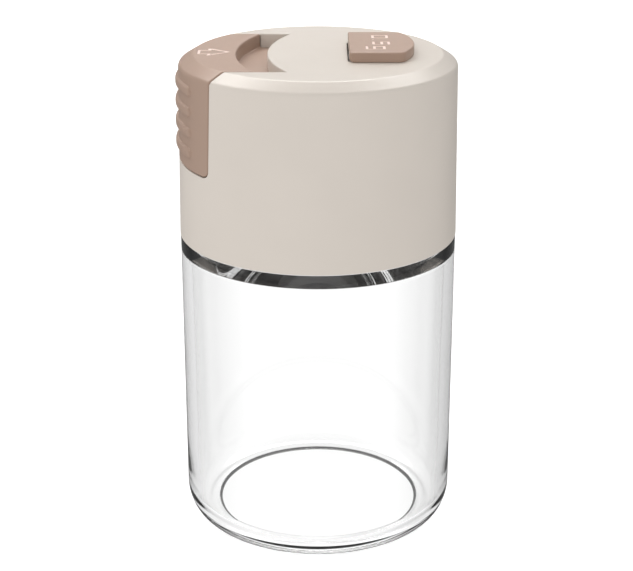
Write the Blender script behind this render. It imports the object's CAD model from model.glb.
import math

import bmesh
import bpy
import numpy as np
from mathutils.geometry import tessellate_polygon
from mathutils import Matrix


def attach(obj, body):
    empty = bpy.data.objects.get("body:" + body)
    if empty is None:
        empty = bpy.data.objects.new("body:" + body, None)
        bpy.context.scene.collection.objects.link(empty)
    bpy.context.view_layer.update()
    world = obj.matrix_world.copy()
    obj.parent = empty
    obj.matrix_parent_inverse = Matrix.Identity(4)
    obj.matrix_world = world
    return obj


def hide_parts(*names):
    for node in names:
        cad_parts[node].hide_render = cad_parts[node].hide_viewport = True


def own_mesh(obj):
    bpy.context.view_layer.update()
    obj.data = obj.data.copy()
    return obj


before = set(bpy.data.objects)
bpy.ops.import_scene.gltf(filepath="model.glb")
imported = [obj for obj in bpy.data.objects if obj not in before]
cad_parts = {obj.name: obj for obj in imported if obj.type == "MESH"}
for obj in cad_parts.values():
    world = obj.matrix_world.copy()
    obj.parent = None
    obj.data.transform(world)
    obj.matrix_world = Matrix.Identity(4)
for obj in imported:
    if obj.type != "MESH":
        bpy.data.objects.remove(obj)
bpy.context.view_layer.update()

bl_info = {
    "name": "Push-key spice dispenser",
    "version": (1, 0, 0),
    "blender": (4, 5, 0),
    "location": "View3D > Sidebar > Dispenser",
    "description": "Dresses the spice dispenser: jar, cap, push key, lid and metering parts",
    "category": "Object",
}

MM = 0.001
FULL = 2 * math.pi
QUARTER = math.pi / 2
WELD, SLIVER, CREASE = 0.0005, 0.00005, 35
AXES = {"X": [2, 0, 1], "Y": [1, 2, 0], "Z": [0, 1, 2]}


# Colours and sizes that a user would change

def srgb(code):
    """A hex colour as the three linear numbers that Blender's sockets take."""
    parts = [int(code[i:i + 2], 16) / 255 for i in (0, 2, 4)]
    return tuple(p / 12.92 if p <= 0.04045 else ((p + 0.055) / 1.055) ** 2.4 for p in parts)


def colour(name, text, code):
    return bpy.props.FloatVectorProperty(
        name=name, description=text, subtype="COLOR", size=3, min=0, max=1, default=srgb(code))


def length(name, text, millimetres):
    return bpy.props.FloatProperty(
        name=name, description=text, subtype="DISTANCE", unit="LENGTH", min=0,
        default=millimetres * MM)


class DispenserColours(bpy.types.PropertyGroup):
    cream: colour("Cream", "Cap shell and slide cover", "DFD6CC")
    brown: colour("Brown", "Push key and flip lid", "AE9382")
    mark: colour("Mark", "Filled strokes of the arrow and the dose mark", "FCE6DC")
    dark: colour("Dark", "Metering base, thread collar and the hinge slot's inside", "3B3632")
    pale: colour("Pale", "Dose slide", "E9E6DF")
    silicone: colour("Silicone", "Neck seal, gaskets and outlet plug", "D9D6D0")
    steel: colour("Steel", "Springs, screws and hinge pin", "B9B8B5")


class DispenserSizes(bpy.types.PropertyGroup):
    ridge_round: length("Ridge round", "Fillet between the deck and the chamfer", 1.1)
    chamfer_round: length("Chamfer round", "Fillet between the chamfer and the wall", 1.2)
    edge_round: length("Edge round", "Fillet along the key's window and the deck's arc", 0.32)
    key_round: length("Key round", "Fillet along the key's edges", 0.22)
    rib_proud: length("Rib height", "How far the grip ribs stand proud", 0.65)
    groove_depth: length("Groove depth", "Depth of the arrow and the dose mark", 0.1)
    thread_depth: length("Thread depth", "Height of the jar's thread", 0.95)


def colours():
    """The colours by name."""
    group = bpy.context.scene.dispenser_colours
    return {name: tuple(getattr(group, name)) for name in DispenserColours.__annotations__}


def sizes():
    """The sizes in millimetres, by name."""
    group = bpy.context.scene.dispenser_sizes
    return {name: getattr(group, name) / MM for name in DispenserSizes.__annotations__}


# Meshes

class Skin:
    """Gathers patches of points and faces, in millimetres, and welds them into one closed mesh."""

    def __init__(self):
        self.points = []
        self.faces = []
        self.tints = []
        self.count = 0

    def add(self, points, faces, tint=None):
        """A patch, whose faces count from its own first point; tint marks where paint goes."""
        points = np.asarray(points, float).reshape(-1, 3)
        tint = np.zeros(len(points)) if tint is None else np.asarray(tint, float).reshape(-1)
        self.points.append(points)
        self.tints.append(tint)
        self.faces.extend((np.asarray(f) + self.count).tolist() for f in faces)
        self.count += len(points)

    def grid(self, points, wrap="", tint=None):
        """Quads between neighbours of rows x columns x 3; wrap closes "columns" or "both"."""
        rows, columns = points.shape[:2]
        i = np.arange(rows if wrap == "both" else rows - 1)[:, None]
        j = np.arange(columns if wrap else columns - 1)
        row, row_on = i * columns, (i + 1) % rows * columns
        column_on = (j + 1) % columns
        corners = (row + j, row + column_on, row_on + column_on, row_on + j)
        self.add(points, np.stack([corner.ravel() for corner in corners], 1), tint)
        return self

    def fill(self, *loops, tint=None):
        """A flat face inside the first loop and outside the others."""
        flat = [[tuple(p) for p in loop] for loop in loops]
        points = np.concatenate([np.asarray(loop, float) for loop in loops])
        self.add(points, tessellate_polygon(flat), tint)

    def sleeve(self, loop, normal, profile, tint=None):
        """A wall along a closed outline: one loop for each (offset, z) of the profile."""
        rows = np.stack([level(loop + offset * normal, z) for offset, z in profile])
        if tint is not None:
            tint = np.full(rows.shape[:2], tint)
        self.grid(rows, "columns", tint=tint)

    def prism(self, plan, z0, z1):
        """A block on a plan outline, from z0 to z1."""
        plan = np.asarray(plan, float)
        self.grid(np.stack([level(plan, z0), level(plan, z1)]), "columns")
        self.fill(level(plan, z0))
        self.fill(level(plan, z1))

    def turned(self, profile, steps, place=(0, 0, 0), axis="Z"):
        """A profile (r, along), which starts and ends on the axis, carried round that axis."""
        points = lathe(np.asarray(profile, float), steps)[..., AXES[axis]]
        self.grid(points + np.asarray(place, float), "columns")

    def mesh(self, name, sharp):
        """The welded mesh with outward faces, smooth but for edges steeper than sharp degrees."""
        points = np.concatenate(self.points)
        mesh = bpy.data.meshes.new(name)
        mesh.from_pydata((points * MM).tolist(), [], self.faces)
        tint = mesh.attributes.new("tint", "FLOAT", "POINT")
        tint.data.foreach_set("value", np.concatenate(self.tints))
        work = bmesh.new()
        work.from_mesh(mesh)
        bmesh.ops.remove_doubles(work, verts=work.verts, dist=WELD * MM)
        bmesh.ops.dissolve_degenerate(work, edges=work.edges, dist=SLIVER * MM)
        bmesh.ops.recalc_face_normals(work, faces=work.faces)
        work.to_mesh(mesh)
        work.free()
        mesh.shade_smooth()
        mesh.set_sharp_from_angle(angle=math.radians(sharp))
        return mesh

    def piece(self, name, body, material, *nodes, sharp=CREASE, flats=True):
        """The finished object: it rides on the body and stands for the CAD nodes."""
        mesh = self.mesh(name, sharp)
        piece = bpy.data.objects.new(name, mesh)
        bpy.context.collection.objects.link(piece)
        mesh.materials.append(material)
        if flats:
            flats_first(piece)
        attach(piece, body)
        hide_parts(*nodes)
        return piece


def flats_first(piece):
    """Shades the flats as flats, so that only the rounds between them turn the light."""
    piece.modifiers.new("Flat faces first", "WEIGHTED_NORMAL").keep_sharp = True


def level(points, z):
    """Plan points (x, y) at one height."""
    return np.column_stack([points, np.full(len(points), float(z))])


def polar(r, angle, z):
    """Points at a radius, an angle about the Z axis and a height, each a number or an array."""
    r, angle, z = np.broadcast_arrays(np.asarray(r, float), angle, z)
    return np.stack([r * np.cos(angle), r * np.sin(angle), z], -1)


def rounded(corners, radii, steps=6):
    """A polyline whose corners are arcs.

    At each corner with radius r the path leaves the straight r / tan(half the angle) before it and
    follows the circle that touches both straights.
    """
    corners = np.asarray(corners, float)
    path = [corners[0]]
    for k in range(1, len(corners) - 1):
        here, r = corners[k], radii[k]
        a = corners[k - 1] - here
        b = corners[k + 1] - here
        a, b = a / np.linalg.norm(a), b / np.linalg.norm(b)
        half = math.acos(np.clip(a @ b, -1, 1)) / 2
        if r <= 0 or half > QUARTER - 1e-4:
            path.append(here)
            continue
        reach = r / math.tan(half)
        middle = here + (a + b) / np.linalg.norm(a + b) * r / math.sin(half)
        start, end = here + a * reach - middle, here + b * reach - middle
        turn = math.acos(np.clip(start @ end / r / r, -1, 1))
        t = np.linspace(0, 1, steps + 1)[:, None]
        swing = np.sin((1 - t) * turn) * start + np.sin(t * turn) * end
        path.extend(middle + swing / math.sin(turn))
    path.append(corners[-1])
    return np.array(path)


def arc(x, y, rx, ry, start, end, steps):
    """Points of an ellipse about (x, y), from one angle to another in quarter turns."""
    t = np.linspace(start, end, steps + 1) * math.pi / 2
    return np.stack([x + rx * np.cos(t), y + ry * np.sin(t)], 1)


def circle(x, y, r, start, end, steps):
    """Points of a circle about (x, y), from one angle to another in quarter turns."""
    return arc(x, y, r, r, start, end, steps)


def lathe(profile, steps=192):
    """Rows x columns x 3: each profile point (r, z) carried round the Z axis."""
    angles = np.linspace(0, FULL, steps, endpoint=False)
    return polar(profile[:, :1], angles, profile[:, 1:])


def on_side(r, y, z):
    """The point of the circle of radius r at height z, on the -X side, at that y."""
    r, y, z = np.broadcast_arrays(np.asarray(r, float), y, z)
    return np.stack([-np.sqrt(np.maximum(r * r - y * y, 0)), y, z], -1)


def bend(start, corner, end, steps=4):
    """A rounded edge: the quadratic curve from start to end that leans towards the corner."""
    t = np.linspace(0, 1, steps + 1).reshape(-1, *([1] * start.ndim))
    return (1 - t) ** 2 * start + 2 * t * (1 - t) * corner + t * t * end


def tangents(path):
    """Unit directions along a path of (x, y) points."""
    ahead = np.gradient(path, axis=0)
    return ahead / np.linalg.norm(ahead, axis=1)[:, None]


def normals_of(rows):
    """Outward normals of a profile (r, z) that runs upwards and then inwards."""
    ahead = tangents(rows)
    return np.stack([ahead[:, 1], -ahead[:, 0]], 1)


def rounded_rect(x, y, half_x, half_y, corner, steps=8):
    """Points and outward normals of a rectangle with round corners, counter-clockwise."""
    turns = np.concatenate([np.linspace(q, q + 1, steps + 1) for q in range(4)]) * math.pi / 2
    normal = np.stack([np.cos(turns), np.sin(turns)], 1)
    signs = np.repeat([(1, 1), (-1, 1), (-1, -1), (1, -1)], steps + 1, axis=0)
    centre = (x, y) + signs * (half_x - corner, half_y - corner)
    return centre + corner * normal, normal


def smooth(value, low, high):
    """0 below low, 1 above high, and an even S between."""
    t = np.clip((value - low) / (high - low), 0, 1)
    return t * t * (3 - 2 * t)


def spaced(*spans):
    """Numbers from the first stop to the last, with its own step in each span (stop, step)."""
    out = [spans[0][0]]
    for stop, step in spans[1:]:
        count = max(1, round((stop - out[-1]) / step))
        out.extend(np.linspace(out[-1], stop, count + 1)[1:])
    return np.array(out)


def stroke_gap(x, y, paths):
    """Distance from each point to the nearest straight stroke between the points of any path."""
    best = np.full(np.broadcast(x, y).shape, np.inf)
    for path in paths:
        for (ax, ay), (bx, by) in zip(path[:-1], path[1:]):
            dx, dy = bx - ax, by - ay
            span = max(dx ** 2 + dy ** 2, 1e-9)
            along = np.clip(((x - ax) * dx + (y - ay) * dy) / span, 0, 1)
            best = np.minimum(best, np.hypot(x - ax - along * dx, y - ay - along * dy))
    return best


def engraved(skin, x0, x1, y0, y1, z, paths, depth):
    """A flat field with strokes cut into it; returns its edge, to leave out of the face around it.

    A point nearer to a stroke than its half-width lies depth lower, and a steep wall 0.07 mm wide
    leads up to the field. The tint of the stroke fades out on that wall.
    """
    half_width, wall, step = 0.27, 0.07, 0.07
    xs = np.linspace(x0, x1, round((x1 - x0) / step) + 1)
    ys = np.linspace(y0, y1, round((y1 - y0) / step) + 1)
    x, y = np.meshgrid(xs, ys, indexing="ij")
    gap = stroke_gap(x, y, paths)
    drop = depth * (1 - smooth(gap, half_width, half_width + wall))
    paint = 1 - smooth(gap, half_width - 0.02, half_width + 0.04)
    skin.grid(np.stack([x, y, z - drop], 2), tint=paint)
    plan = np.stack([x, y], 2)
    edge = [plan[:-1, 0], plan[-1, :-1], plan[:0:-1, -1], plan[0, :0:-1]]
    return level(np.concatenate(edge), z)


# Finishes: scales are per metre, and the Mix node's colour sockets are found by number

COLOUR_A, COLOUR_B, COLOUR_OUT = 6, 7, 2


class Tree:
    """A node tree with short ways to add the nodes that the finishes and the sky share."""

    def __init__(self, owner):
        owner.use_nodes = True
        self.tree = owner.node_tree

    def set(self, node, **values):
        """Feeds inputs of a node: with a socket, a colour of three numbers, or a number."""
        for name, value in values.items():
            self.feed(node.inputs[name.replace("_", " ")], value)

    def feed(self, socket, value):
        """Feeds one socket."""
        if isinstance(value, bpy.types.NodeSocket):
            self.tree.links.new(value, socket)
        elif isinstance(value, tuple):
            socket.default_value = (*value, 1)
        else:
            socket.default_value = value

    def node(self, kind, **values):
        """A new node with these inputs."""
        node = self.tree.nodes.new("ShaderNode" + kind)
        self.set(node, **values)
        return node

    def where(self, kind):
        """One of the texture coordinates."""
        return self.node("TexCoord").outputs[kind]

    def noise(self, where, scale, detail=2.0):
        return self.node("TexNoise", Vector=where, Scale=scale, Detail=detail).outputs["Fac"]

    def ramp(self, value, low, high, start=0.0, end=1.0):
        """Maps start..end to low..high."""
        node = self.node("MapRange", Value=value, From_Min=start, From_Max=end,
                         To_Min=low, To_Max=high)
        return node.outputs["Result"]

    def mixed(self, share, first, second):
        """From the first colour to the second as the share goes from 0 to 1."""
        node = self.node("Mix")
        node.data_type = "RGBA"
        self.set(node, Factor=share)
        self.feed(node.inputs[COLOUR_A], first)
        self.feed(node.inputs[COLOUR_B], second)
        return node.outputs[COLOUR_OUT]

    def bump(self, height, strength, millimetres):
        node = self.node("Bump", Height=height, Strength=strength, Distance=millimetres * MM)
        return node.outputs["Normal"]

    def maths(self, operation, *values):
        node = self.node("Math")
        node.operation = operation
        for socket, value in zip(node.inputs, values):
            self.feed(socket, value)
        return node.outputs[0]

    def times(self, first, second):
        return self.maths("MULTIPLY", first, second)

    def less(self, first, second):
        return self.maths("SUBTRACT", first, second)

    def band(self, value, middle, core, edge):
        """1 within core of the middle, falling to 0 at edge."""
        return self.ramp(self.maths("ABSOLUTE", self.less(value, middle)), 1.0, 0.0, core, edge)


def finish_tree(name):
    """A new material with its tree and its shader."""
    material = bpy.data.materials.new(name)
    tree = Tree(material)
    return material, tree, tree.tree.nodes["Principled BSDF"]


def moulded(name, base, spread=0.03, rough=(0.36, 0.44), grain=2600, mark=None):
    """Moulded plastic: faint clouding of the colour, a fine eroded grain and uneven gloss."""
    material, tree, shader = finish_tree(name)
    where = tree.where("Object")
    dark = tuple(c * (1 - spread) for c in base)
    light = tuple(min(1, c * (1 + spread)) for c in base)
    tone = tree.mixed(tree.noise(where, scale=70, detail=3), dark, light)
    if mark:
        attribute = tree.node("Attribute")
        attribute.attribute_name = "tint"
        tone = tree.mixed(attribute.outputs["Fac"], tone, mark)
    grains = tree.noise(where, grain, detail=3)
    tree.set(shader, Base_Color=tone, IOR=1.47,
             Roughness=tree.ramp(tree.noise(where, scale=300), *rough),
             Normal=tree.bump(grains, strength=0.5, millimetres=0.008))
    return material


def glass(name):
    """Clear soda glass with a trace of waviness in the surface."""
    material, tree, shader = finish_tree(name)
    where = tree.where("Object")
    waves = tree.noise(where, scale=45, detail=1)
    tree.set(shader, Base_Color=(0.99, 0.991, 0.99), Transmission_Weight=1, IOR=1.5,
             Roughness=tree.ramp(tree.noise(where, scale=200), low=0.0, high=0.015),
             Normal=tree.bump(waves, strength=0.1, millimetres=0.1))
    return material


def metal(name, base):
    """Drawn wire and turned steel: fine scratches in the gloss."""
    material, tree, shader = finish_tree(name)
    where = tree.where("Object")
    dull = tuple(c * 0.85 for c in base)
    tone = tree.mixed(tree.noise(where, scale=900), dull, base)
    tree.set(shader, Metallic=1, Base_Color=tone,
             Roughness=tree.ramp(tree.noise(where, scale=3000), low=0.2, high=0.36))
    return material


FINISHES = {}


def finish(slot):
    """The material of a slot of the record, made once."""
    if slot not in FINISHES:
        paint = colours()
        cream, brown, dark = paint["cream"], paint["brown"], paint["dark"]
        FINISHES[slot] = {
            "clear_glass": lambda: glass("Clear glass"),
            "cream_plastic": lambda: moulded("Cream plastic", cream, mark=dark),
            "brown_plastic": lambda: moulded("Brown plastic", brown, mark=paint["mark"]),
            "dark_plastic": lambda: moulded("Dark plastic", dark, spread=0.08),
            "pale_plastic": lambda: moulded("Pale plastic", paint["pale"]),
            "silicone": lambda: moulded(
                "Silicone", paint["silicone"], rough=(0.5, 0.62), grain=1500),
            "spring_steel": lambda: metal("Spring steel", paint["steel"]),
        }[slot]()
    return FINISHES[slot]


# The cap's form, in millimetres, line by line: wall, chamfer and deck; the inside; the arcs of
# deck and key; the window's taper; outlet and hinge; the springs' axes

R_LOW, R_TOP, CAP_LOW, CAP_TOP, CHAMFER_Z, RIDGE_R = 31.1, 30.5, 68.4, 108.9, 106.9, 27.2
MOUTH_R, DECK_UNDER, SHELL_WALL, GUIDE_X = 29.1, 106.5, 2.0, -13.15
ARC_R, DECK_ARC_X, KEY_ARC_X, DECK_HALF = 40.0, -11.05, -17.8, 18.8
SIDE_TAPER, TAPER_FROM, MID_WALL = 0.3, 88, 80
OUTLET_X, HINGE_X, HINGE_Z, BORE_R = 13.775, 7.4, 109.8, 0.55
SPRING_Y, SPRING_Z = 14.4, 92.6


def outer_r(z):
    """The cap's outer radius: it falls in a straight line from the lower edge to the chamfer."""
    return R_LOW - (R_LOW - R_TOP) * (z - CAP_LOW) / (CHAMFER_Z - CAP_LOW)


def wall_line(z):
    """Rows (r, z) of the outer wall."""
    return np.stack([outer_r(z), z], 1)


def cap_profile(size):
    """The section (r, z) in two parts: the lower edge, and the chamfer with its two rounds."""
    corners = [(MOUTH_R, CAP_LOW), (R_LOW, CAP_LOW), (R_TOP, CHAMFER_Z), (RIDGE_R, CAP_TOP),
               (18, CAP_TOP)]
    rows = rounded(corners, [0, 0.15, size["chamfer_round"], size["ridge_round"], 0], 9)
    split = np.argmax(rows[:, 1] > MID_WALL)
    return rows[:split], rows[split:-1]


def closing_in(z, wide, narrow):
    """Half-width of the window: it widens a little up to the chamfer, then closes to the deck."""
    return np.interp(z, [TAPER_FROM, CHAMFER_Z, CAP_TOP], [wide - SIDE_TAPER, wide, narrow])


def deck_bow(radius, turn):
    """Plan points on a circle about the centre of the deck's arc."""
    return np.stack([DECK_ARC_X + ARC_R - radius * np.cos(turn), radius * np.sin(turn)], 1)


def shell_skin():
    """The cap shell, built round its window.

    The window's outline runs up one side, along the deck's arc, down the other side and back over
    the sill. Four copies of it, from the face over a quadratic round to the inside, make its edge.
    Each row of the outer and of the inner skin is a circle from one side of the window to the
    other.
    """
    skin = Skin()
    size = sizes()
    f = size["edge_round"]
    half, bottom, corner = 20.4, 85.9, 1.8
    low_half = half - SIDE_TAPER - corner
    columns, sill, sweep, deck_rows, to_guide = 256, 40, 97, 12, 5
    lower_edge, edge = cap_profile(size)
    a = np.linspace(0, QUARTER, 9)
    wall_z = np.linspace(bottom + corner, edge[0, 1], 16)[1:-1]

    def section(inset):
        """Rows (r, z) up one side and over the deck to its arc, their half-widths, and the end."""
        y, turn_r = DECK_HALF + inset, corner + inset
        start = -math.sqrt(edge[-1, 0] ** 2 - y ** 2)
        tip_x = DECK_ARC_X + ARC_R - math.sqrt((ARC_R - inset) ** 2 - y ** 2)
        x = np.concatenate([np.linspace(start, GUIDE_X, to_guide + 1)[1:],
                            np.linspace(GUIDE_X, tip_x, deck_rows - to_guide)])
        deck = np.stack([np.hypot(x, y), np.full(deck_rows, CAP_TOP)], 1)
        turn = wall_line(bottom + corner - np.cos(a) * turn_r)
        rows = np.concatenate([turn, wall_line(wall_z), edge, deck])
        above = closing_in(rows[len(a):, 1], half, DECK_HALF) + inset
        return rows, np.concatenate([low_half + np.sin(a) * turn_r, above]), tip_x

    rows, spread = section(f)[:2]
    sharp, sharp_y, tip_x = section(0)
    inward = normals_of(sharp)
    inward[:len(a)] = (1, 0)
    inward[-deck_rows:] = (0, 1)
    sunk = sharp - f * inward
    sunk[-deck_rows:, 0] = sharp[-deck_rows:, 0]

    inner = sharp.copy()
    inner_y = sharp_y.copy()
    roof = len(a) + len(wall_z)
    inner[:, 0] = outer_r(inner[:, 1]) - SHELL_WALL
    inner_y[roof:] = half
    inner[roof:, 1] = DECK_UNDER
    wall_x = -math.sqrt((outer_r(DECK_UNDER) - SHELL_WALL) ** 2 - half ** 2)
    count = len(edge) + to_guide
    x = np.concatenate([np.linspace(wall_x, GUIDE_X, count),
                        np.linspace(GUIDE_X, tip_x, deck_rows - to_guide)])
    inner_y[roof + count:] = DECK_HALF
    inner[roof:, 0] = np.hypot(x, inner_y[roof:])

    sill_turn = math.asin(low_half / rows[0, 0])
    sill_y = rows[0, 0] * np.sin(np.linspace(sill_turn, -sill_turn, sill + 1)[1:-1])
    sweep_at = np.linspace(-1, 1, sweep + 2)[1:-1]

    def loop(rows, y, radius, arc_z):
        """The window's outline: one side, the sill, the other side and the deck's arc."""
        side = on_side(rows[:, 0], y, rows[:, 1])
        base = on_side(rows[0, 0], sill_y, rows[0, 1])
        curve = level(deck_bow(radius, sweep_at * math.asin(y[-1] / radius)), arc_z)
        return np.concatenate([side[::-1], base, side * (1, -1, 1), curve])

    first = loop(rows, spread, ARC_R - f, CAP_TOP)
    middle = loop(sharp, sharp_y, ARC_R, CAP_TOP)
    second = loop(sunk, sharp_y, ARC_R, CAP_TOP - f)
    last = loop(inner, inner_y, ARC_R, DECK_UNDER)
    skin.grid(np.concatenate([bend(first, middle, second, 5), last[None]]), "columns")

    def skin_rows(rows, y):
        """Circles from one side of the window round to the other, and their angles."""
        turn = math.pi - np.arcsin(y / rows[:, 0])
        turn = turn[:, None] * np.linspace(-1, 1, columns + 1)
        return polar(rows[:, :1], turn, rows[:, 1:]), turn

    outside, turn_out = skin_rows(rows, spread)
    inside, turn_in = skin_rows(inner, inner_y)
    skin.grid(outside)
    skin.grid(inside)
    ring_out = np.concatenate([turn_out[0], math.pi - np.arcsin(sill_y / rows[0, 0])])
    ring_in = np.concatenate([turn_in[0], math.pi - np.arcsin(sill_y / inner[0, 0])])
    low = np.concatenate([lower_edge, wall_line(np.array([72, 77, 82])), rows[:1]])
    skin.grid(polar(low[:, :1], ring_out, low[:, 1:]), "columns")
    low_z = np.linspace(CAP_LOW, inner[0, 1], 5)[:, None]
    share = np.linspace(0, 1, 5)[:, None]
    r = outer_r(low_z) - SHELL_WALL
    r[0] = MOUTH_R
    skin.grid(polar(r, ring_out * (1 - share) + ring_in * share, low_z), "columns")

    rim, slot_floor, dark_from = 0.12, 107.6, CAP_TOP - 0.3
    port, port_n = rounded_rect(OUTLET_X, 0, 4.3, 7.3, 2.3)
    slot, slot_n = rounded_rect(7.39, 0, 1.01, 9.1, 0.3, 4)
    skin.fill(np.concatenate([outside[-1], first[-sweep:][::-1]]),
              level(port + rim * port_n, CAP_TOP), level(slot + rim * slot_n, CAP_TOP))
    skin.fill(np.concatenate([inside[-1], last[-sweep:][::-1]]), level(port, DECK_UNDER))
    round_rim = [(rim, CAP_TOP), (rim * 0.3, CAP_TOP - rim * 0.3), (0, CAP_TOP - rim)]
    skin.sleeve(port, port_n, round_rim + [(0, DECK_UNDER)])
    skin.sleeve(slot, slot_n, round_rim)
    skin.sleeve(slot, slot_n, [(0, CAP_TOP - rim), (0, dark_from), (0, slot_floor)], tint=1)
    skin.fill(level(slot, slot_floor), tint=np.ones(len(slot)))
    add_blocks(skin)
    return skin


def add_blocks(skin):
    """Blocks that overlap the shell: guide walls, ears, the deck arc's skirt and the bosses."""
    guide_y, guide_out, deck_y, deck_out = 20.42, 22, 18.82, 20.5
    guide_from, guide_to, block_top = -21.2, -5.5, 106.6
    ear_in, ear_out = 5.0, 6.6
    ear = np.concatenate([circle(HINGE_X, HINGE_Z, 0.8, 0, 2, 16), [(6.6, 107.4), (8.2, 107.4)]])
    hole = np.concatenate([circle(HINGE_X, HINGE_Z, BORE_R, 0, 2, 16),
                           circle(HINGE_X, HINGE_Z, BORE_R, 2.67, 3.33, 1)])
    for side in (1, -1):
        near, far = side * guide_y, side * guide_out
        for end, low, high in ((guide_to, 102.2, block_top), (GUIDE_X, 86.6, 102.3)):
            skin.prism([(guide_from, near), (-19.6, far), (end, far), (end, near)], low, high)
        near, far = side * deck_y, side * deck_out
        skin.prism([(GUIDE_X, near), (GUIDE_X, far), (guide_to, far), (guide_to, near)],
                   104.4, block_top)
        rings = [np.insert(outline, 1, side * y, 1) for outline, y in (
            (ear, ear_in), (ear, ear_out), (hole, ear_out), (hole, ear_in))]
        skin.grid(np.stack(rings), "both")
    turn = np.linspace(-1, 1, 65) * math.asin((DECK_HALF - 0.05) / ARC_R)
    skirt = np.concatenate([deck_bow(ARC_R, turn), deck_bow(ARC_R - 1.2, turn)[::-1]])
    skin.prism(skirt, 105.95, block_top)
    boss_r, bore_r, boss_low = 3, 1.3, 85.8
    boss = [(0, 93.6), (bore_r, 93.6), (bore_r, boss_low), (2.8, boss_low), (boss_r, 86.0),
            (boss_r, block_top), (0, block_top)]
    reach = outer_r(DECK_UNDER) - SHELL_WALL - boss_r
    for degrees in (60, 112, -112, -60):
        skin.turned(boss, 32, polar(reach, math.radians(degrees), 0))


# The push key, with the arrow's strokes and the ribs' places

ARROW = [[(-26.0, 1.75), (-23.6, 1.75), (-23.9, 3.15), (-19.5, 0.1), (-23.9, -3.1), (-23.6, -1.75),
          (-26.0, -1.75), (-26.0, 1.75)]]
RIB_Z = [CHAMFER_Z - 20.7 * (0.164 + 0.218 * i) for i in range(4)]
RIB_REACH, RIB_HALF = 13.5, 1.1


def rib_height(y, z, proud):
    """How far the grip ribs stand proud.

    Away from a rib's middle line, in half-widths, the height falls as the root of 1 - away^3.2,
    which is a full, flat-topped bow. The ends are round, and the foot runs out softly.
    """
    total = 0
    for centre in RIB_Z:
        away = np.hypot(np.maximum(np.abs(y) - RIB_REACH, 0), z - centre) / RIB_HALF
        e = 1 - away ** 3.2
        bow = np.sqrt((e + np.sqrt(e * e + 0.003)) / 2)
        total = total + proud * bow * (1 - smooth(away, 1.04, 1.22))
    return np.minimum(total, proud)


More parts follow.
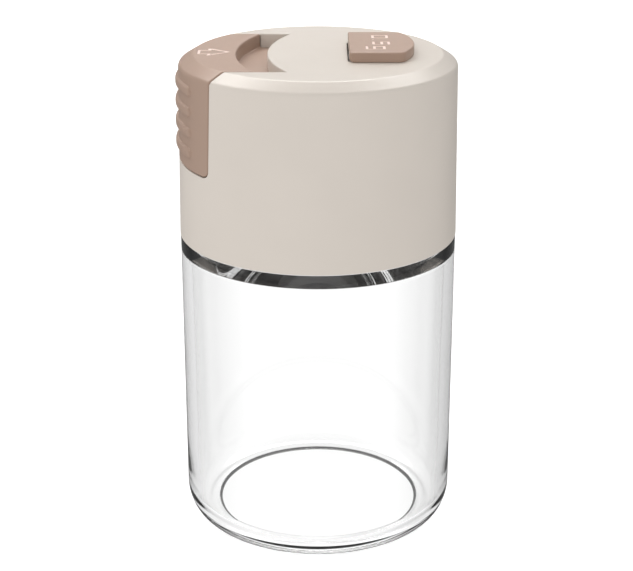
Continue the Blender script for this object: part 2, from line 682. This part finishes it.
def key_skin():
    """The push key: panel, top plate and pad, with the arm and the spring seats.

    Its face is one grid, which follows the cap's own wall, chamfer and deck, then the crescent
    edge, the pad and the pad's front. Across it fills the window less a clearance. A quadratic
    round leads to the two sides and the bottom, and flat faces close the back.
    """
    skin = Skin()
    size = sizes()
    f = size["key_round"]
    half, plate_half, bottom, corner, wall = 20.15, 18.55, 86.2, 1.5, 2.2
    low_half = half - SIDE_TAPER - corner
    arc_x, pad_z, pad_x, pad_under = KEY_ARC_X + ARC_R, 105.8, KEY_ARC_X + 9.3, 104.4
    core_x, core_y = KEY_ARC_X - 1.8, 17.95
    pad_half = closing_in(pad_under, half, plate_half)
    v = np.unique(np.round(np.concatenate([
        spaced((-1, 0), (-0.97, 0.01), (-0.80, 0.02), (-0.60, 0.005), (0.60, 0.02), (0.80, 0.005),
               (0.97, 0.02), (1, 0.01)),
        [-core_y / pad_half, core_y / pad_half]]), 6))
    edge = cap_profile(size)[1]
    a = np.linspace(0, QUARTER, 7)
    high = bottom + corner
    wall_z = spaced((high, 0), (edge[0, 1], 0.11))[1:-1]
    turn_z = high - np.cos(a) * (corner - f)
    turn_sharp = high - np.cos(a) * corner
    rise = np.concatenate([wall_line(turn_z), wall_line(wall_z), edge])
    rise_sharp = rise.copy()
    rise_sharp[:len(a)] = wall_line(turn_sharp)
    sharp_y = closing_in(rise_sharp[:, 1], half, plate_half)
    spread = sharp_y - f
    spread[:len(a)] = low_half + np.sin(a) * (corner - f)
    sharp_y[:len(a)] = low_half + np.sin(a) * corner
    rise_n = normals_of(rise_sharp)
    rise_n[:len(a)] = (1, 0)
    sunk_r, sunk_z = (rise_sharp - f * rise_n).T

    lip = rounded([(1, CAP_TOP), (0, CAP_TOP), (0, pad_z), (-1, pad_z)], [0, 0.35, 0.35, 0])[1:-1]
    front = rounded([(pad_x - 1, pad_z), (pad_x, pad_z), (pad_x, pad_under)], [0, 0.25, 0], 4)[1:]
    deck_u = np.linspace(0, 1, 25)[1:-1]
    pad_u = np.linspace(0, 1, 9)[1:-1]

    def crescent(y, gap):
        """x of the crescent edge, or of a curve inside it by the gap."""
        return arc_x - np.sqrt((ARC_R + gap) ** 2 - y * y)

    def beyond(y, nudge):
        """x and z of the rows from the deck over the crescent edge and the pad to its front.

        The nudge moves every row inwards, square to the surface.
        """
        ridge = -np.sqrt(rise[-1, 0] ** 2 - y * y)
        brink, foot = crescent(y, lip[0, 0]), crescent(y, lip[-1, 0])
        lip_t, front_t = tangents(lip), tangents(front)
        x = np.concatenate([
            ridge + (brink - ridge) * deck_u[:, None],
            crescent(y, (lip[:, 0] - nudge * lip_t[:, 1])[:, None]),
            foot + (front[0, 0] - foot) * pad_u[:, None],
            (front[:, 0] + nudge * front_t[:, 1])[:, None] + 0 * y])
        z = np.concatenate([
            np.full(len(deck_u), CAP_TOP - nudge), lip[:, 1] + nudge * lip_t[:, 0],
            np.full(len(pad_u), pad_z - nudge), front[:, 1] - nudge * front_t[:, 0]])
        return x, z[:, None] + 0 * y

    lower = on_side(rise[:, 0, None], spread[:, None] * v, rise[:, 1, None])
    ribbed = lower[:len(a) + len(wall_z)]
    proud = rib_height(ribbed[..., 1], ribbed[..., 2], size["rib_proud"])
    ribbed[..., :2] *= (1 + proud / np.hypot(ribbed[..., 0], ribbed[..., 1]))[..., None]
    skin.grid(lower)
    y = (plate_half - f) * v
    xs, zs = beyond(y, 0.0)
    upper = np.stack([xs, np.broadcast_to(y, xs.shape), zs], 2)
    deck = len(deck_u)
    skin.grid(upper[deck:])
    rim = np.concatenate(
        [lower[-1], upper[:deck + 1, -1], upper[deck, ::-1], upper[:deck, 0][::-1]])
    skin.fill(rim, engraved(skin, -26.7, -18.9, -3.8, 3.8, CAP_TOP, ARROW, size["groove_depth"]))

    climb = np.linspace(high, pad_under, 5)[1:]
    climb_y = closing_in(climb, half, plate_half)
    ends, heels = [], []
    for side in (1, -1):
        top_y = side * plate_half

        def top(nudge):
            """The top's rows at this side."""
            x, z = beyond(np.array([plate_half]), nudge)
            return np.stack([x[:, 0], np.full(len(x), top_y), z[:, 0]], 1)

        top_sunk = top(f)
        top_sunk[-1, 2] = pad_under
        sharp = on_side(rise_sharp[:, 0], side * sharp_y, rise_sharp[:, 1])
        sharp = np.concatenate([sharp, top(0.0)])
        low_sunk = on_side(sunk_r, side * sharp_y, sunk_z)
        sunk = np.concatenate([low_sunk, top_sunk])
        pick = -1 if side > 0 else 0
        curve = bend(np.concatenate([lower[:, pick], upper[:, pick]]), sharp, sunk)
        skin.grid(curve)
        ends.append(curve)
        inner = on_side(outer_r(turn_sharp) - wall, side * sharp_y[:len(a)], turn_sharp)
        skin.grid(np.stack([sunk[:len(a)], inner]))
        chain = on_side(outer_r(climb) - wall, side * climb_y, climb)
        heel = np.array([(core_x - 0.15, top_y, pad_under)])
        heels.append(heel)
        ridge_at = len(low_sunk)
        skin.fill(np.concatenate([sunk[len(a) - 1:ridge_at + 1], heel, chain[::-1], inner[-1:]]))
        skin.fill(np.concatenate([sunk[ridge_at:], heel]))

    low_y = low_half * v
    low_rows = [on_side(outer_r(bottom) - inset, low_y, bottom) for inset in (wall, f, 0)]
    skin.grid(bend(low_rows[1], low_rows[2], lower[0]))
    skin.grid(np.stack(low_rows[:2]))
    in_z = np.concatenate([turn_sharp, climb])
    in_half = np.concatenate([sharp_y[:len(a)], climb_y])
    inside = on_side((outer_r(in_z) - wall)[:, None], in_half[:, None] * v, in_z[:, None])
    skin.grid(inside)
    wide = inside[-1]
    core = np.abs(wide[:, 1]) < core_y + 1e-4
    left, right = wide[wide[:, 1] <= -core_y + 1e-4], wide[wide[:, 1] >= core_y - 1e-4]
    near, far = (core_x, -core_y, pad_under), (core_x, core_y, pad_under)
    skin.fill(np.concatenate([upper[-1], ends[0][1:, -1], heels[0], right[::-1], [far, near],
                              left[::-1], heels[1], ends[1][1:, -1][::-1]]))
    roof = np.concatenate([on_side(outer_r(DECK_UNDER) - wall, wide[core][:, 1], DECK_UNDER),
                           [(core_x, core_y, DECK_UNDER), (core_x, -core_y, DECK_UNDER)]])
    skin.grid(np.stack([np.concatenate([wide[core], [far, near]]), roof]), "columns")
    skin.fill(roof)
    add_arm(skin)
    return skin


def add_arm(skin):
    """The arm that carries the dose slide, and a turned seat with a peg for each spring."""
    blunt, arm_low, arm_top = 0.15, 99, 101.8
    arm, arm_n = rounded_rect(-23.7, 0, 6.17, 6.5, 0.3, 3)
    skin.sleeve(arm, arm_n, [(-blunt, arm_low), (0, 99.15), (0, 101.65), (-blunt, arm_top)])
    for z in (arm_low, arm_top):
        skin.fill(level(arm - blunt * arm_n, z))
    seat = -22.43
    peg = [(0, -25.0), (3.1, -25.0), (3.1, seat - 0.15), (2.95, seat), (1.4, seat),
           (1.4, seat + 2.8), (1.2, seat + 3), (0, seat + 3)]
    for y in (SPRING_Y, -SPRING_Y):
        skin.turned(peg, 40, (0, y, SPRING_Z), "X")


# The flip lid, with the dose mark's strokes

LID_TOP, LID_LOW = 111.1, 108.97
DOSE_MARK = [
    [(12.0, 4.3), (12.0, 6.9), (15.1, 6.9), (15.1, 4.3), (12.0, 4.3)],
    [(12.0, 2.5), (12.05, 2.5)],
    [(12.0, 0.4), (12.0, -2.1), (13.8, -2.1), (13.8, 0.4), (15.3, 0.4), (15.3, -2.1)],
    [(10.5, -4.3), (10.5, -6.8), (14.2, -6.8), (14.2, -4.3), (12.1, -4.3), (12.1, -6.8)],
]


def lid_outline():
    """The D plan of the lid as points and outward normals: crisp heel, side lines, round nose."""
    reach, half, heel, corner, start = 20.9, 10.5, 0.4, 2.0, 6.65
    cx = math.sqrt((reach - corner) ** 2 - (half - corner) ** 2)
    turn = math.atan2(half - corner, cx) / QUARTER
    parts = [
        (start + heel, heel - half, heel, 2, 3, 5), (cx, corner - half, corner, 3, 4 - turn, 12),
        (0, 0, reach, -turn, turn, 48), (cx, half - corner, corner, turn, 1, 12),
        (start + heel, half - heel, heel, 1, 2, 5)]
    points, normals = [], []
    for x, y, r, t0, t1, steps in parts:
        unit = circle(0, 0, 1, t0, t1, steps)
        points.append(unit * r + (x, y))
        normals.append(unit)
    return np.concatenate(points), np.concatenate(normals)


def lid_skin():
    """The flip lid: rings of its plan from the underside up and over the edge's round.

    Below the pin the heel draws in as a circle about the pin does, so that it clears the slot.
    """
    skin = Skin()
    size = sizes()
    plan, normal = lid_outline()
    r, heel_r, pocket_roof = 0.32, 0.75, LID_LOW + 1.1
    low = [(0, z) for z in np.linspace(LID_LOW + 0.08, HINGE_Z, 7)]
    side = [(0, z) for z in np.linspace(HINGE_Z + 0.1, LID_TOP - r, 4)[:-1]]
    rows = [(-0.05, LID_LOW), *low, *side, *circle(-r, LID_TOP - r, r, 0, 1, 6)]
    loops = np.stack([level(plan + offset * normal, z) for offset, z in rows])
    sunk = np.clip(HINGE_Z - loops[..., 2], 0, heel_r)
    heel = np.sqrt(heel_r ** 2 - sunk ** 2) / heel_r
    x = loops[..., 0]
    loops[..., 0] = np.where(x < HINGE_X, HINGE_X - (HINGE_X - x) * heel, x)
    skin.grid(loops, "columns")
    field = engraved(skin, 9.6, 16.2, -7.7, 7.7, LID_TOP, DOSE_MARK, size["groove_depth"])
    skin.fill(loops[-1], field)
    pocket, pocket_n = rounded_rect(OUTLET_X, 0, 1.8, 4.8, 0.5)
    skin.fill(loops[0], level(pocket, LID_LOW))
    skin.sleeve(pocket, pocket_n, [(0, LID_LOW), (0, pocket_roof)])
    skin.fill(level(pocket, pocket_roof))
    return skin


def lid_cutter():
    """Notches for the two ears and the bore of the hinge pin."""
    cutter = Skin()
    for y in (5.8, -5.8):
        low, high = y - 1.1, y + 1.1
        cutter.prism([(6.0, low), (8.3, low), (8.3, high), (6.0, high)], 108.5, 110.7)
    bore = [(0, -9.1), (BORE_R, -9.1), (BORE_R, 11), (0, 11)]
    cutter.turned(bore, 24, (HINGE_X, 0, HINGE_Z), "Y")
    return cutter


def cut_away(piece, cutter_skin):
    """Takes the cutter's blocks out of the piece."""
    cutter = bpy.data.objects.new("cutter", cutter_skin.mesh("cutter", CREASE))
    bpy.context.collection.objects.link(cutter)
    piece.modifiers.remove(piece.modifiers["Flat faces first"])
    boolean = piece.modifiers.new("Cut", "BOOLEAN")
    boolean.object = cutter
    boolean.operation = "DIFFERENCE"
    boolean.solver = "MANIFOLD"
    graph = bpy.context.evaluated_depsgraph_get()
    whole, cutter_mesh = piece.data, cutter.data
    piece.data = bpy.data.meshes.new_from_object(piece.evaluated_get(graph))
    piece.data.set_sharp_from_angle(angle=math.radians(CREASE))
    piece.modifiers.remove(boolean)
    flats_first(piece)
    bpy.data.objects.remove(cutter)
    for mesh in (whole, cutter_mesh):
        bpy.data.meshes.remove(mesh)


# The glass jar and what screws on it

THREAD_LEAD = 4.2


def helix_ridge(z, angle, first, last):
    """Height 0..1 of a right-hand thread's ridge at each (z, angle), with ends that fade out.

    Its turns lie one lead apart from the height first to the height last. Across a turn the height
    is 1 near the middle line and falls in an S to 0.
    """
    fade = 0.12
    phase = (z - first) / THREAD_LEAD - angle / FULL
    turn = np.round(phase)
    off = np.abs(phase - turn) * THREAD_LEAD
    travelled = turn + angle / FULL
    whole = (last - first) / THREAD_LEAD
    ends = smooth(travelled, 0, fade) * (1 - smooth(travelled, whole - fade, whole))
    return (1 - smooth(off, 0.25, 0.85)) * ends


def raise_thread(points, rows, first, last, depth):
    """Moves rows of a turned grid outwards by depth times the ridge; a negative depth inwards."""
    angle = np.linspace(0, FULL, points.shape[1], endpoint=False)
    ridge = helix_ridge(points[rows, :, 2], angle, first, last) * depth
    points[rows, :, 0] += ridge * np.cos(angle)
    points[rows, :, 1] += ridge * np.sin(angle)


def jar_skin():
    """The jar as one turned profile: the underside, the outside up to the lip, and the inside."""
    outer, inner, neck_r, mouth_r = 31.0, 28.4, 25.99, 23.39
    punt, floor_z, lip_r, lip_z, steps = 0.8, 2.4, 0.8, 78.2, 240
    under = np.concatenate([[(0, punt), (12, punt)], arc(25.0, punt, 1.8, punt, -2, -1, 8)])
    foot = arc(26.75, 6.7, 4.25, 6.7, -1, 0, 18)
    wall = np.stack([np.full(9, outer), np.linspace(10, 64, 9)], 1)
    ledge = circle(30.95, 68.33, 0.05, 0, 1, 4)
    cove = circle(26.79, 69.05, 0.8, -1, -2, 5)
    neck = np.stack([np.full(60, neck_r), np.linspace(69.2, 77.9, 60)], 1)
    lip = np.concatenate([circle(25.19, lip_z, lip_r, 0, 1, 6),
                          circle(24.19, lip_z, lip_r, 1, 2, 6)])
    inside = rounded([(mouth_r, 77), (mouth_r, 69.05), (inner, 64.3), (inner, 40)],
                     [0, 0.8, 1.2, 0], 8)
    floor = np.concatenate([[(inner, 30), (inner, 18)], circle(24.4, 6.4, 4.0, 0, -1, 14),
                            [(12, floor_z), (0, floor_z)]])
    below = np.concatenate([under, foot, wall, ledge, cove])
    points = lathe(np.concatenate([below, neck, lip, inside, floor]), steps)
    rows = slice(len(below), len(below) + len(neck))
    raise_thread(points, rows, 70.2, 77.0, sizes()["thread_depth"])
    return Skin().grid(points, "columns")


def collar_skin():
    """The sleeve, its flange, and an inner thread half a lead from the jar's."""
    bore_rows, ridge, steps = 70, 0.65, 240
    bore = np.stack([np.full(bore_rows, 27.29), np.linspace(80.8, 69.95, bore_rows)], 1)
    outside = rounded([(27.89, 69.3), (28.69, 69.3), (28.69, 82.1), (23.89, 82.1), (23.89, 80.8),
                       (27.2, 80.8)], [0, 0.2, 0.6, 0.2, 0.2, 0], 4)
    points = lathe(np.concatenate([bore, outside[:-1]]), steps)
    raise_thread(points, slice(bore_rows), 72.3, 79.6, -ridge)
    return Skin().grid(points, "both")


def seal_skin():
    """A flat ring with a round bead on top."""
    inner, outer, low, top, bead, seam = 23.69, 26.59, 79.1, 80.3, 0.35, 79.5
    middle, flat = (inner + outer) / 2, top - bead
    ring = rounded([(inner, seam), (inner, low), (outer, low), (outer, flat),
                    (middle + bead, flat)], [0, 0.2, 0.2, 0.2, 0], 4)
    hump = circle(middle, flat, bead, 0, 2, 10)
    close = rounded([(middle - bead, flat), (inner, flat), (inner, seam)], [0, 0.2, 0], 4)
    return Skin().grid(lathe(np.concatenate([ring[:-1], hump, close[1:-1]])), "both")


# Springs

def spring_skin(y):
    """A wire 0.6 mm thick wound 9 turns along X, its two end turns laid close.

    Along the axis it moves by the close pitch in the first and the last turn and by the open pitch
    between. The tube's rings are circles square to the wire.
    """
    start, end, wire, radius, turns, close = -22.07, -7.27, 0.3, 2.1, 9, 0.75
    pitch = (end - start - 2 * close) / (turns - 2)
    t = np.linspace(0, turns, turns * 28 + 1)
    closed = np.minimum(t, 1) + np.maximum(t - (turns - 1), 0)
    along = start + close * closed + pitch * (t - closed)
    slope = np.gradient(along, t) / FULL
    c, s = np.cos(t * FULL), np.sin(t * FULL)
    out = np.stack([0 * t, c, s], 1)
    ahead = np.stack([slope, -radius * s, radius * c], 1)
    ahead /= np.linalg.norm(ahead, axis=1)[:, None]
    side = np.cross(ahead, out)
    centre = np.stack([along, y + radius * c, SPRING_Z + radius * s], 1)
    turn = np.linspace(0, FULL, 12, endpoint=False)[None, :, None]
    tube = centre[:, None] + wire * (np.cos(turn) * out[:, None] + np.sin(turn) * side[:, None])
    skin = Skin().grid(tube, "columns")
    skin.fill(tube[0])
    skin.fill(tube[-1])
    return skin


# Operators

class DISPENSER_OT_jar(bpy.types.Operator):
    """Glass jar with a rounded foot, a punt, a sloped inner shoulder and a threaded neck"""

    bl_idname = "dispenser.jar"
    bl_label = "Glass jar"

    def execute(self, context):
        piece = jar_skin().piece(
            "jar_glass", "jar", finish("clear_glass"), "glass_jar", sharp=60, flats=False)
        return {"FINISHED"}


class DISPENSER_OT_neck_parts(bpy.types.Operator):
    """Thread collar and neck seal"""

    bl_idname = "dispenser.neck_parts"
    bl_label = "Thread collar and seal"

    def execute(self, context):
        collar = collar_skin().piece(
            "collar_sleeve", "cap", finish("dark_plastic"), "thread_collar")
        seal = seal_skin().piece("lip_seal", "seal", finish("silicone"), "neck_seal")
        return {"FINISHED"}


class DISPENSER_OT_shell(bpy.types.Operator):
    """Cap shell with the key's window, hinge slot, outlet, guide walls, bosses and ears"""

    bl_idname = "dispenser.shell"
    bl_label = "Cap shell"

    def execute(self, context):
        piece = shell_skin().piece(
            "cap_shell_moulding", "cap", finish("cream_plastic"), "cap_shell")
        return {"FINISHED"}


class DISPENSER_OT_key(bpy.types.Operator):
    """Push key: top plate with arrow and crescent edge, sunk pad, ribbed panel, arm and seats"""

    bl_idname = "dispenser.key"
    bl_label = "Push key"

    def execute(self, context):
        piece = key_skin().piece("push_key_moulding", "key", finish("brown_plastic"), "push_key")
        return {"FINISHED"}


class DISPENSER_OT_lid(bpy.types.Operator):
    """Flip lid with its dose mark, and the hinge pin"""

    bl_idname = "dispenser.lid"
    bl_label = "Flip lid"

    def execute(self, context):
        piece = lid_skin().piece("flip_lid_moulding", "lid", finish("brown_plastic"), "flip_lid")
        cut_away(piece, lid_cutter())
        pin = Skin()
        pin.turned([(0, -9), (0.35, -9), (0.45, -8.9), (0.45, 10.1), (0.35, 10.2), (0, 10.2)],
                   32, (HINGE_X, 0, HINGE_Z), "Y")
        pin = pin.piece("hinge_pin_steel", "lid", finish("spring_steel"), "lid_hinge_pin")
        return {"FINISHED"}


class DISPENSER_OT_fittings(bpy.types.Operator):
    """The two return springs"""

    bl_idname = "dispenser.fittings"
    bl_label = "Return springs"

    def execute(self, context):
        for name, y in (("left", -SPRING_Y), ("right", SPRING_Y)):
            piece = spring_skin(y).piece(
                f"spring_{name}_wire", "cap", finish("spring_steel"), f"return_spring_{name}",
                flats=False)
            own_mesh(piece)
        return {"FINISHED"}


SLOT_OF_NODE = {
    "metering_base": "dark_plastic",
    "slide_cover": "cream_plastic",
    "dose_slide": "pale_plastic",
    "inlet_gasket": "silicone",
    "outlet_gasket": "silicone",
    "outlet_plug": "silicone",
}


class DISPENSER_OT_inner_parts(bpy.types.Operator):
    """Materials of the parts that keep their CAD shape, the screws among them"""

    bl_idname = "dispenser.inner_parts"
    bl_label = "Inner parts"

    def execute(self, context):
        for node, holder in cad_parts.items():
            holder.data.materials.clear()
            holder.data.materials.append(finish(SLOT_OF_NODE.get(node, "spring_steel")))
        return {"FINISHED"}


# The stage, in metres, watts and degrees, and the levels of its sky

FLOOR_HALF, FLOOR_Z, FLOOR_GREY, FLOOR_GLOW = 4.0, -0.0001, 0.6, 0.75
LAMP_PLACE, LAMP_AIM, LAMP_SIDE, LAMP_WATTS = (-0.13, 0.08, 0.24), (0, 0, 0.1), 0.12, 0.07
CAMERA_PLACE, CAMERA_TILT, CAMERA_SHIFT = (0, -0.3495, 0.1874), 69.17, -0.00245
LENS, SENSOR = 92.54, 36
CLEAR_LEVEL, MATT_LEVEL, BACK_DIP, STRIP_GLOW = 1.06, 0.6, 0.42, 16.0


def add_object(name, data, *unseen_by):
    """A new object, hidden from these kinds of ray."""
    holder = bpy.data.objects.new(name, data)
    bpy.context.scene.collection.objects.link(holder)
    for kind in unseen_by:
        setattr(holder, "visible_" + kind, False)
    return holder


class DISPENSER_OT_stage(bpy.types.Operator):
    """White floor, soft lights and the camera at the photograph's angle"""

    bl_idname = "dispenser.stage"
    bl_label = "Stage"

    def execute(self, context):
        self.floor()
        self.lamp()
        context.scene.camera = self.camera()
        context.scene.world = self.sky()
        context.scene.view_settings.view_transform = "Standard"
        return {"FINISHED"}

    def floor(self):
        """Pale paper that only the camera sees; the sky lights the rest from below as well."""
        corners = [(x * FLOOR_HALF, y * FLOOR_HALF, FLOOR_Z)
                   for x, y in ((-1, -1), (1, -1), (1, 1), (-1, 1))]
        mesh = bpy.data.meshes.new("floor")
        mesh.from_pydata(corners, [], [(0, 1, 2, 3)])
        material, tree, shader = finish_tree("Floor paper")
        tree.set(shader, Base_Color=(FLOOR_GREY,) * 3, Roughness=0.9,
                 Emission_Color=(1, 1, 1), Emission_Strength=FLOOR_GLOW)
        mesh.materials.append(material)
        floor = add_object("floor", mesh, "transmission", "glossy", "diffuse")

    def lamp(self):
        """A faint softbox behind the left, which gives the cap its shading and no reflection."""
        lamp = bpy.data.lights.new("Back softbox", "AREA")
        lamp.shape = "RECTANGLE"
        lamp.size = LAMP_SIDE
        lamp.size_y = LAMP_SIDE
        lamp.energy = LAMP_WATTS
        holder = add_object("Back softbox", lamp, "camera", "glossy", "transmission")
        x, y, z = np.subtract(LAMP_AIM, LAMP_PLACE)
        holder.location = LAMP_PLACE
        holder.rotation_euler = (math.atan2(math.hypot(x, y), -z), 0, math.atan2(y, x) - QUARTER)

    def camera(self):
        """The photograph's view, fitted to the edges of the jar and the cap."""
        lens = bpy.data.cameras.new("Camera")
        lens.lens = LENS
        lens.sensor_width = SENSOR
        lens.shift_x = CAMERA_SHIFT
        lens.clip_start = 0.01
        camera = add_object("Camera", lens)
        camera.location = CAMERA_PLACE
        camera.rotation_euler = (math.radians(CAMERA_TILT), 0, 0)
        return camera

    def sky(self):
        """White studio: its brightness depends on the direction and on the kind of ray.

        Through the glass a dark card stands low at each side and a faint veil further round.
        Glossy rays see a dim low back, which keeps the plastic matt, and a bright strip high
        behind. Diffuse rays see it darker overhead and to the right, and brighter in front.
        """
        world = bpy.data.worlds.new("Studio")
        tree = Tree(world)
        split = tree.node("SeparateXYZ", Vector=tree.where("Generated"))
        across, ahead, up = split.outputs
        around = tree.maths("ARCTAN2", ahead, tree.maths("ABSOLUTE", across))

        def facing(*degrees):
            """A band round the Z axis: middle, core and edge, in degrees from the sides."""
            return tree.band(around, *(math.radians(angle) for angle in degrees))

        low = tree.ramp(tree.maths("ABSOLUTE", up), 1.0, 0.0, 0.42, 0.56)
        card = tree.times(tree.ramp(across, 0.75, 0.92, -0.2, 0.2),
                          tree.times(facing(17, 11, 32), low))
        veil = tree.times(facing(58, 8, 26), tree.ramp(across, 0.12, 0.25, -0.2, 0.2))
        through = tree.less(tree.less(CLEAR_LEVEL, card), veil)
        back = tree.times(facing(90, 50, 75), tree.ramp(up, 1.0, 0.0, 0.05, 0.25))
        strip = tree.times(tree.band(up, 0.78, 0.03, 0.15),
                           tree.ramp(ahead, 0.0, 1.0, 0.28, 0.5))
        mirrored = tree.maths("ADD", tree.less(MATT_LEVEL, tree.times(BACK_DIP, back)),
                              tree.times(STRIP_GLOW, strip))
        height = tree.maths("ADD", tree.ramp(up, 0.88, 0.78, -0.2, 0.4),
                            tree.ramp(ahead, 0.12, 0.0, -0.9, 0.1))
        diffuse = tree.less(height, tree.ramp(across, 0.0, 0.3, 0.2, 1.0))
        rays = tree.node("LightPath").outputs
        strength = 0.0
        for kind, amount in (("Camera", 1.0), ("Transmission", through),
                             ("Glossy", mirrored), ("Diffuse", diffuse)):
            share = tree.times(rays[f"Is {kind} Ray"], amount)
            strength = tree.maths("MAXIMUM", strength, share)
        tree.set(tree.tree.nodes["Background"], Color=(1, 1, 1), Strength=strength)
        return world


class DISPENSER_PT_panel(bpy.types.Panel):
    """Lists the operators in the sidebar"""

    bl_label = "Spice dispenser"
    bl_idname = "DISPENSER_PT_panel"
    bl_space_type = "VIEW_3D"
    bl_region_type = "UI"
    bl_category = "Dispenser"

    def draw(self, context):
        for operator in OPERATORS:
            self.layout.operator(operator.bl_idname)


OPERATORS = (
    DISPENSER_OT_inner_parts,
    DISPENSER_OT_jar,
    DISPENSER_OT_neck_parts,
    DISPENSER_OT_shell,
    DISPENSER_OT_key,
    DISPENSER_OT_lid,
    DISPENSER_OT_fittings,
    DISPENSER_OT_stage,
)
CLASSES = (DispenserColours, DispenserSizes, *OPERATORS, DISPENSER_PT_panel)


def register():
    for cls in CLASSES:
        bpy.utils.register_class(cls)
    bpy.types.Scene.dispenser_colours = bpy.props.PointerProperty(type=DispenserColours)
    bpy.types.Scene.dispenser_sizes = bpy.props.PointerProperty(type=DispenserSizes)


def unregister():
    del bpy.types.Scene.dispenser_colours
    del bpy.types.Scene.dispenser_sizes
    for cls in reversed(CLASSES):
        bpy.utils.unregister_class(cls)


def main():
    register()
    for operator in OPERATORS:
        group, name = operator.bl_idname.split(".")
        getattr(getattr(bpy.ops, group), name)()


if __name__ == "__main__":
    main()
